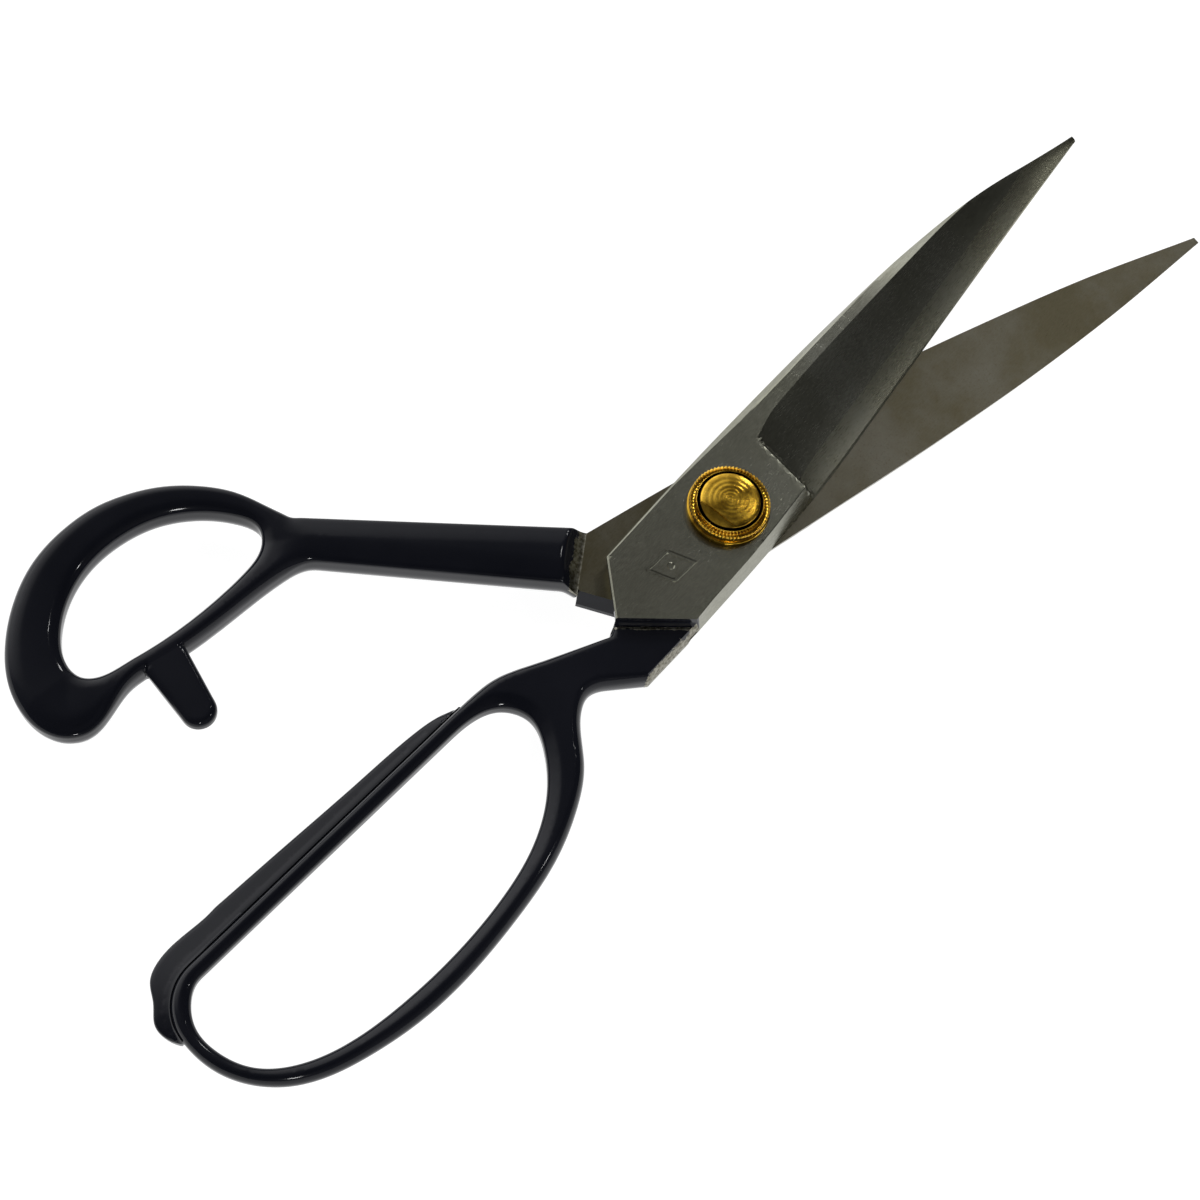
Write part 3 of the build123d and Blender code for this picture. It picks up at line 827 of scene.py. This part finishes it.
BLADE_SMOOTH = 7
for side, place, blade_steel, plate_steel in (
    ("upper", place_upper, steel, steel_cutting),
    ("lower", place_lower, steel_lower, steel_cutting_lower),
):
    vertices, faces = build_blade(side)
    blade = make_object(f"{side}_blade_forging", place(vertices), faces, BLADE_SMOOTH)
    plate = make_object(f"{side}_cutting_steel", place(vertices), faces, BLADE_SMOOTH)
    cutter = box_cutter("plate_cutter", (PLATE_START, -40, -1), (140, 40, PLATE_THICK), place)
    cut(blade, cutter, "DIFFERENCE", BLADE_SMOOTH)
    cut(plate, cutter, "INTERSECT", BLADE_SMOOTH)
    bpy.data.objects.remove(cutter)
    dress(blade, [blade_steel, black], f"{side}_half", "blade_steel", f"{side}_blade")
    dress(plate, [plate_steel], f"{side}_half", "cutting_steel", f"{side}_cutting_plate")
    if side == "upper":
        corners = SIDES["upper"]["corners"]
        for corner in (corners[0], corners[2]):
            paint_end_wall(blade, corners[1], corner, lambda p: (p[0], p[1], p[2] - UPPER_BASE), 0, 4.66)
    else:
        corners = SIDES["lower"]["corners"]
        paint_end_wall(blade, corners[1], corners[0], lower_plan, 0.1, 5, 1.05)


# ---- handles ----
def rounded(depth, reach, fall):
    """How far a face has fallen at a depth inside an edge rounded over reach and fall."""
    t = np.clip(depth / reach, 0, 1)
    return fall * (1 - np.sqrt(np.maximum(1 - (1 - t) ** 2, 0)))


def soft_max(a, b, k):
    """Larger of two values, with the crease between them rounded by k."""
    h = np.clip(0.5 + 0.5 * (a - b) / k, 0, 1)
    return b + (a - b) * h + k * h * (1 - h)


def linear(x, near, far, reach=135):
    """Value that goes evenly from near, at the pivot, to far, at the bow's end."""
    return near + (far - near) * np.clip(-x / reach, 0, 1)


def set_bare(piece, values):
    attribute = piece.data.attributes.new("bare", "FLOAT", "POINT")
    attribute.data.foreach_set("value", np.asarray(values, np.float32))


# depths of the rows of points beside an edge, which make it round
ROWS = [0.04, 0.12, 0.25, 0.42, 0.62, 0.86, 1.12, 1.42, 1.75, 2.1, 2.5, 2.95, 3.4, 3.9, 4.5]

# Upper half: the finger bow. Its plan comes from the CAD handle.
UPPER_TOP = (3.0, 1.8)
UPPER_BOTTOM = (-4.8, -2.8)
upper_loops = [smooth_loop(loop) for loop in section_loops("upper_handle", CONTACT + 0.313)]
bow_outer, bow_inner = upper_loops[0], upper_loops[1]
with_flange = smooth_loop(section_loops("upper_handle", CONTACT - 1.713)[0])
with_flange = splice(with_flange, bow_outer, -42)
shoulder_corners = np.array(SIDES["upper"]["corners"][1:], float)
under_cut = np.array([(-33.4, 2.4), (-22.9, -10.8)])
side_wall = np.array([(-20.6, -10.3), (-35.5, -9.95)])
SIDE_WALL_SLOPE = 4.2
FLANGE_TOP = -0.5
FLANGE_FALL = 0.3            # per millimetre away from the bow
FLANGE_BOTTOM = -2.7
INNER_BAND = 2.3             # width of the bow's slope towards its hole
INNER_SLOPE = 0.62
OUTER_REACH = 2.0            # width of the bow's rounded outer side
TANG_REACH = 1.1             # the same beside the tang
TANG_FALL = 2.3
HANDLE_START = -34           # the enamel beads against the tang are in front of this x


def side_of(points, line):
    """Distance in front of (positive) or behind a straight line, to its left."""
    d = (line[1] - line[0]) / np.linalg.norm(line[1] - line[0])
    return (points[:, 1] - line[0][1]) * d[0] - (points[:, 0] - line[0][0]) * d[1]


def stands_out(points, loop, gap):
    """Which points lie clearly outside a loop, and not only by a hair of its smoothing."""
    return ~inside(points, loop) & (gap > 0.15)


def upper_handle_top(p):
    crest = linear(p[:, 0], *UPPER_TOP)
    d_out = distance_to(p, bow_outer)
    d_in = distance_to(p, bow_inner)
    width = np.maximum(d_in + d_out, 1.0)
    band = np.minimum(INNER_BAND, 0.5 * width)
    inner = INNER_SLOPE * np.maximum(band - d_in, 0) + rounded(d_in, 0.5, 0.7)
    shoulder_gap = -side_of(p, shoulder_corners)
    near_tang = np.clip((p[:, 0] + 44) / 10, 0, 1)
    reach = np.minimum(OUTER_REACH, 0.55 * width) * (1 - near_tang) + TANG_REACH * near_tang
    fall = (crest + 0.6) * (1 - near_tang) + TANG_FALL * near_tang
    against_tang = np.clip(1 - 2 * shoulder_gap, 0, 1)
    fall = fall * (1 - against_tang)
    outer = rounded(d_out, reach, fall)
    z = crest - soft_max(inner, outer, 0.35)
    flange = FLANGE_TOP - FLANGE_FALL * d_out - rounded(distance_to(p, with_flange), 0.6, 0.6)
    flange = flange + 0.5 * np.exp(-d_out / 0.3) + 0.22 * np.exp(-((d_out - 0.75) / 0.22) ** 2)
    z = np.where(stands_out(p, bow_outer, d_out), flange, z)
    wall = np.maximum(SIDE_WALL_SLOPE * distance_to(p, side_wall, closed=False) - 0.6, -0.6)
    z = np.where(near_tang > 0.6, np.minimum(z, wall), z)
    fillet = 0.9 * np.exp(-np.abs(shoulder_gap) / 0.3) + 0.16 * np.exp(-((shoulder_gap - 1.0) / 0.2) ** 2)
    return CONTACT + z + np.where(p[:, 0] > HANDLE_START, fillet, 0)


def upper_handle_bottom(p):
    base = linear(p[:, 0], *UPPER_BOTTOM)
    d = np.minimum(distance_to(p, bow_outer), distance_to(p, bow_inner))
    z = base + rounded(d, 2.0, -0.7 - base)
    beyond = stands_out(p, bow_outer, distance_to(p, bow_outer))
    z = np.where(beyond, FLANGE_BOTTOM + 0.3 * np.exp(-distance_to(p, with_flange) / 0.4), z)
    cut_side = side_of(p, under_cut)
    relief = rounded(d, 1.2, 1.6) * np.clip((p[:, 1] + 6) / 2, 0, 1)
    return CONTACT + np.where(cut_side > 0, UPPER_BASE - CONTACT + relief, z)


vertices, faces = forge(
    with_flange, [bow_inner], upper_handle_top, upper_handle_bottom, 0.55,
    features=[], rings=[with_flange, bow_outer, bow_inner], ring_depths=ROWS, walls=5)
finger_bow = make_object("finger_bow", vertices, faces, 60)
plan = vertices[:, :2]
wall_gap = distance_to(plan, side_wall + [(0, 0), (0.6, 0)], closed=False)
bare = 1.3 - 1.15 * wall_gap
shoulder_gap = -side_of(plan, shoulder_corners)
# bare metal in a thin line along the tang's end: partly chipped enamel, partly a painted highlight along the
# enamel's bead there
chips_and_painted_highlight = 1.05 * np.exp(-((shoulder_gap - 0.9) / 0.22) ** 2) * (plan[:, 0] > HANDLE_START)
bare = np.maximum(bare, chips_and_painted_highlight)
set_bare(finger_bow, np.clip(bare, 0, 1.2))
dress(finger_bow, [black], "upper_half", "enamel", "upper_handle")

# Lower half: the thumb bow with the stop peg.
LOWER_TOP = 3.7
LOWER_BOTTOM = -4.5
PEG_TOP = 3.4
PEG_BOTTOM = 0.3
PEG_ROUND = 1.3
lower_loops = [smooth_loop(loop) for loop in section_loops("lower_handle", CONTACT - 1.013, OPEN_ANGLE)]
thumb_outer, thumb_inner = lower_loops[0], lower_loops[1]
with_peg = smooth_loop(section_loops("lower_handle", CONTACT + 1.813, OPEN_ANGLE)[0], corner_angle=50)
lower_shoulder = np.array([(-31.7, 1.9), (-23.2, 11.3)])
lobe_crease = np.array([(-108.0, 37.0), (-126.0, 33.5)])
LOBE_FALL = 0.13             # fall of the lobe's end per millimetre past its crease
CREST_SHARE = 0.68           # how far from the hole the crest lies, as a share of the bow's width
CREST_SLOPE = 0.16           # from the crest towards the hole
EDGE_FALL = 2.8              # of the rounded outer side
SHANK_FACET = 4.2            # width of the sloping sides of the shank
SHANK_SLOPE = 0.26
PEG_AXIS = -100.2
PEG_HALF_WIDTH = 3.9
PEG_REACH = 38               # the peg's root crosses the near strand of the bow and ends at the hole


def lower_handle_top(p):
    d_out = distance_to(p, thumb_outer)
    d_in = distance_to(p, thumb_inner)
    width = np.maximum(d_in + d_out, 1.0)
    shank = np.clip((p[:, 0] + 74) / 8, 0, 1)
    inner = rounded(d_in, np.minimum(2.4, 0.45 * width), 1.6 + 0.6 * shank)
    inner = inner + CREST_SLOPE * np.maximum(CREST_SHARE * width - d_in, 0) * (1 - shank)
    outer = rounded(d_out, np.minimum(4.0, 0.38 * width), EDGE_FALL) * (1 - shank)
    facet = (SHANK_SLOPE * np.maximum(SHANK_FACET - d_out, 0) + rounded(d_out, 0.7, 0.7)) * shank
    z = LOWER_TOP - soft_max(inner, outer + facet, 0.6)
    peg = PEG_TOP - rounded(distance_to(p, with_peg), PEG_ROUND, PEG_ROUND)
    beyond = stands_out(p, thumb_outer, d_out)
    beside = np.abs(p[:, 0] - PEG_AXIS) - PEG_HALF_WIDTH
    root = PEG_TOP - rounded(-beside, PEG_ROUND, PEG_ROUND) - 1.5 * np.maximum(beside, 0)
    root = np.where(p[:, 1] < PEG_REACH, np.minimum(root, LOWER_TOP - inner), -9)
    z = np.where(beyond, peg, np.maximum(z, root))
    fallen = np.maximum(side_of(p, lobe_crease), 0) * np.clip((-105 - p[:, 0]) / 9, 0, 1)
    z = z - LOBE_FALL * fallen * np.clip(d_out / 1.5, 0, 1)
    gap = np.maximum(side_of(p, lower_shoulder), 0)
    rise = 0.08 + LOWER_TOP * (gap / 3.6) ** 1.7
    z = -soft_max(-z, -rise, 0.5)
    return CONTACT + z


def lower_handle_bottom(p):
    d = np.minimum(distance_to(p, thumb_outer), distance_to(p, thumb_inner))
    z = LOWER_BOTTOM + rounded(d, 2.2, 4.2)
    beyond = stands_out(p, thumb_outer, distance_to(p, thumb_outer))
    z = np.where(beyond, PEG_BOTTOM + rounded(distance_to(p, with_peg), 0.9, 0.9), z)
    return CONTACT + z


vertices, faces = forge(
    with_peg, [thumb_inner], lower_handle_top, lower_handle_bottom, 0.55,
    rings=[with_peg, thumb_outer, thumb_inner], ring_depths=ROWS, walls=5)
thumb_bow = make_object("thumb_bow", turn_lower(vertices), faces, 60)
gap = side_of(vertices[:, :2], lower_shoulder)
bare = np.where(vertices[:, 2] - CONTACT > -0.3, 1.25 - 0.42 * gap, 0)
set_bare(thumb_bow, np.clip(bare, 0, 1.2))
dress(thumb_bow, [black], "lower_half", "enamel", "lower_handle")


# ---- pivot ----
def lathe(profile, steps, shape=None):
    """Closed solid turned round the pivot axis from (radius, height) points, reshaped by shape."""
    angles = np.linspace(0, 2 * np.pi, steps, endpoint=False)
    vertices, faces, rows = [], [], []
    for radius, height in profile:
        start = len(vertices)
        if radius < 1e-6:
            vertices.append((0, 0, height))
            rows.append([start] * steps)
        else:
            vertices += [(radius * np.cos(a), radius * np.sin(a), height) for a in angles]
            rows.append(list(range(start, start + steps)))
    closed = profile[0][0] > 1e-6
    pairs = list(zip(rows, rows[1:])) + ([(rows[-1], rows[0])] if closed else [])
    for low, high in pairs:
        for i in range(steps):
            j = (i + 1) % steps
            corners = [low[i], low[j], high[j], high[i]]
            corners = [c for k, c in enumerate(corners) if c not in corners[:k]]
            if len(corners) > 2:
                faces.append(corners)
    vertices = np.array(vertices, float)
    if shape is not None:
        vertices = shape(vertices)
    return vertices, faces


FACET_DISTANCE = 3.7
FACET_TILT = radians(11)


def dome_height(radius):
    """Turned end of the bolt: a shallow dome with a raised centre and turning rings."""
    share = radius / BOLT_RADIUS
    rings = 0.013 * np.cos(2 * np.pi * radius / (0.55 + 0.05 * radius)) * np.clip(1 - share**6, 0, 1)
    return BOLT_TOP - 0.06 - 0.5 * share**2 - 0.12 * np.clip((share - 0.9) / 0.1, 0, 1) ** 2 + rings


def shape_bolt(v):
    shank = (v[:, 2] > HEAD_HEIGHT - 0.01) & (v[:, 2] < CONTACT - 0.01) & (np.hypot(v[:, 0], v[:, 1]) < 6)
    v[shank, 0] = np.maximum(v[shank, 0], -KEY_FLAT)
    return v


radii = np.linspace(BOLT_RADIUS - 0.12, 0, 72)
bolt_profile = (
    [(0, 0), (4, 0), (HEAD_RADIUS - 0.5, 0), (HEAD_RADIUS - 0.12, 0.3), (HEAD_RADIUS, 0.6)]
    + [(HEAD_RADIUS, HEAD_HEIGHT - 0.2), (HEAD_RADIUS - 0.15, HEAD_HEIGHT), (BOLT_RADIUS, HEAD_HEIGHT)]
    + [(BOLT_RADIUS, CONTACT - 0.02), (BOLT_RADIUS, CONTACT), (BOLT_RADIUS, NUT_TOP - 0.55)]
    + [(BOLT_RADIUS, BOLT_TOP - 0.8)]
    + [(r, dome_height(r)) for r in radii]
)
bolt_profile[-1] = (0, dome_height(0))
vertices, faces = lathe(bolt_profile, 192, shape_bolt)
bolt = make_object("turned_bolt", vertices, faces, 30)
cutter = box_cutter("facet_cutter", (-9, -9, 0), (0, 9, 3), lambda v: np.c_[
    v[:, 0] * cos(FACET_TILT) + v[:, 2] * 0.25 - FACET_DISTANCE, v[:, 1],
    NUT_TOP + 0.32 + v[:, 0] * sin(FACET_TILT) + v[:, 2]])
cut(bolt, cutter, "DIFFERENCE", 30)
bpy.data.objects.remove(cutter)
dress(bolt, [brass], "lower_half", "brass", "pivot_bolt")

vertices, faces = lathe([
    (BORE_RADIUS, WASHER_BASE + 0.02), (WASHER_RADIUS - 0.12, WASHER_BASE + 0.02),
    (WASHER_RADIUS, WASHER_BASE + 0.14),
    (WASHER_RADIUS, NUT_BASE - 0.3), (WASHER_RADIUS - 0.1, NUT_BASE - 0.1), (WASHER_RADIUS - 0.3, NUT_BASE),
    (BORE_RADIUS, NUT_BASE),
], 192)
washer = make_object("rimmed_washer", vertices, faces, 30)
dress(washer, [brass], "nut_washer", "brass", "nut_washer")

TEETH = 66
TOOTH_DEPTH = 0.34


def shape_nut(v):
    radius = np.hypot(v[:, 0], v[:, 1])
    angle = np.arctan2(v[:, 1], v[:, 0])
    top_band = (v[:, 2] > NUT_BASE + 0.6) & (radius > 6.35)
    wave = 0.5 - 0.5 * np.cos(TEETH * angle)
    v[top_band, 2] -= TOOTH_DEPTH * wave[top_band]
    rim = (v[:, 2] > NUT_BASE + 0.4) & (radius > NUT_RADIUS - 0.1)
    v[rim, :2] *= (1 - 0.1 * wave[rim] / radius[rim])[:, None]
    return v


nut_profile = [
    (BORE_RADIUS, NUT_BASE), (NUT_RADIUS - 0.35, NUT_BASE), (NUT_RADIUS - 0.08, NUT_BASE + 0.3),
    (NUT_RADIUS, NUT_BASE + 0.55), (NUT_RADIUS, NUT_TOP - 0.5), (NUT_RADIUS - 0.1, NUT_TOP - 0.3),
    (NUT_RADIUS - 0.3, NUT_TOP - 0.1), (NUT_RADIUS - 0.55, NUT_TOP), (6.75, NUT_TOP), (6.45, NUT_TOP - 0.02),
    (6.36, NUT_TOP - 0.1), (6.25, NUT_TOP - 0.02), (6.1, NUT_TOP - 0.04), (6.02, NUT_TOP - 0.2),
    (5.95, NUT_TOP - 1.1), (BORE_RADIUS, NUT_TOP - 1.2),
]
vertices, faces = lathe(nut_profile, TEETH * 6, shape_nut)
nut = make_object("serrated_nut", vertices, faces, 40)
dress(nut, [brass], "adjusting_nut", "brass", "adjusting_nut")


# ---- floor and light ----
def make_floor():
    size = 3.0
    mesh = bpy.data.meshes.new("floor")
    corners = [(-size, -size, 0), (size, -size, 0), (size, size, 0), (-size, size, 0)]
    mesh.from_pydata(corners, [], [(0, 1, 2, 3)])
    floor = bpy.data.objects.new("floor", mesh)
    floor.location.z = -0.00002
    bpy.context.scene.collection.objects.link(floor)
    n = Nodes("pale_floor")
    n.shader.inputs["Base Color"].default_value = (0.3, 0.3, 0.3, 1)
    n.shader.inputs["Roughness"].default_value = 1.0
    n.shader.inputs["Specular IOR Level"].default_value = 0.0
    n.shader.inputs["Emission Color"].default_value = (1, 1, 1, 1)
    n.shader.inputs["Emission Strength"].default_value = 0.97
    mesh.materials.append(n.material)


BRIGHT_AZIMUTH = 75
BRIGHT_ELEVATION = 15
ROOM_STOPS = ((0.0, 0.25), (0.35, 0.03), (0.55, 0.045), (0.75, 0.13), (0.82, 0.26), (1.0, 2.0))


def make_world():
    """Soft room light: one bright side, dim overhead and opposite."""
    world = bpy.data.worlds.new("studio")
    bpy.context.scene.world = world
    world.use_nodes = True
    tree = world.node_tree
    coordinates = tree.nodes.new("ShaderNodeTexCoord")
    a, e = radians(BRIGHT_AZIMUTH), radians(BRIGHT_ELEVATION)
    towards = tree.nodes.new("ShaderNodeVectorMath")
    towards.operation = "DOT_PRODUCT"
    towards.inputs[1].default_value = (cos(e) * cos(a), cos(e) * sin(a), sin(e))
    tree.links.new(coordinates.outputs["Generated"], towards.inputs[0])
    share = tree.nodes.new("ShaderNodeMapRange")
    share.inputs["From Min"].default_value = -1
    tree.links.new(towards.outputs["Value"], share.inputs["Value"])
    ramp_node = tree.nodes.new("ShaderNodeValToRGB")
    elements = ramp_node.color_ramp.elements
    while len(elements) < len(ROOM_STOPS):
        elements.new(0.5)
    for element, (at, value) in zip(elements, ROOM_STOPS):
        element.position = at
        element.color = (value, value, value * 1.01, 1)
    tree.links.new(share.outputs["Result"], ramp_node.inputs["Fac"])
    tree.links.new(ramp_node.outputs["Color"], tree.nodes["Background"].inputs["Color"])


LAMP_DISTANCE = 1.6
LAMP_AIM = (0, 0, 0.01)


def area_light(name, azimuth, elevation, size, power):
    data = bpy.data.lights.new(name, "AREA")
    data.shape = "DISK"
    data.size = size
    data.energy = power
    light = bpy.data.objects.new(name, data)
    a, e = radians(azimuth), radians(elevation)
    away = Vector((cos(e) * cos(a), cos(e) * sin(a), sin(e)))
    light.location = Vector(LAMP_AIM) + LAMP_DISTANCE * away
    light.rotation_euler = away.to_track_quat("Z", "Y").to_euler()
    bpy.context.scene.collection.objects.link(light)


make_floor()
make_world()
area_light("lamp_key", -2, 59, 0.08, 0.6)
area_light("lamp_front", 13, 31, 0.2, 2.6)
area_light("lamp_side", -61, 39, 0.1, 1.2)
area_light("lamp_back", -134, 24, 0.2, 4.5)
bpy.context.scene.view_settings.view_transform = "Standard"
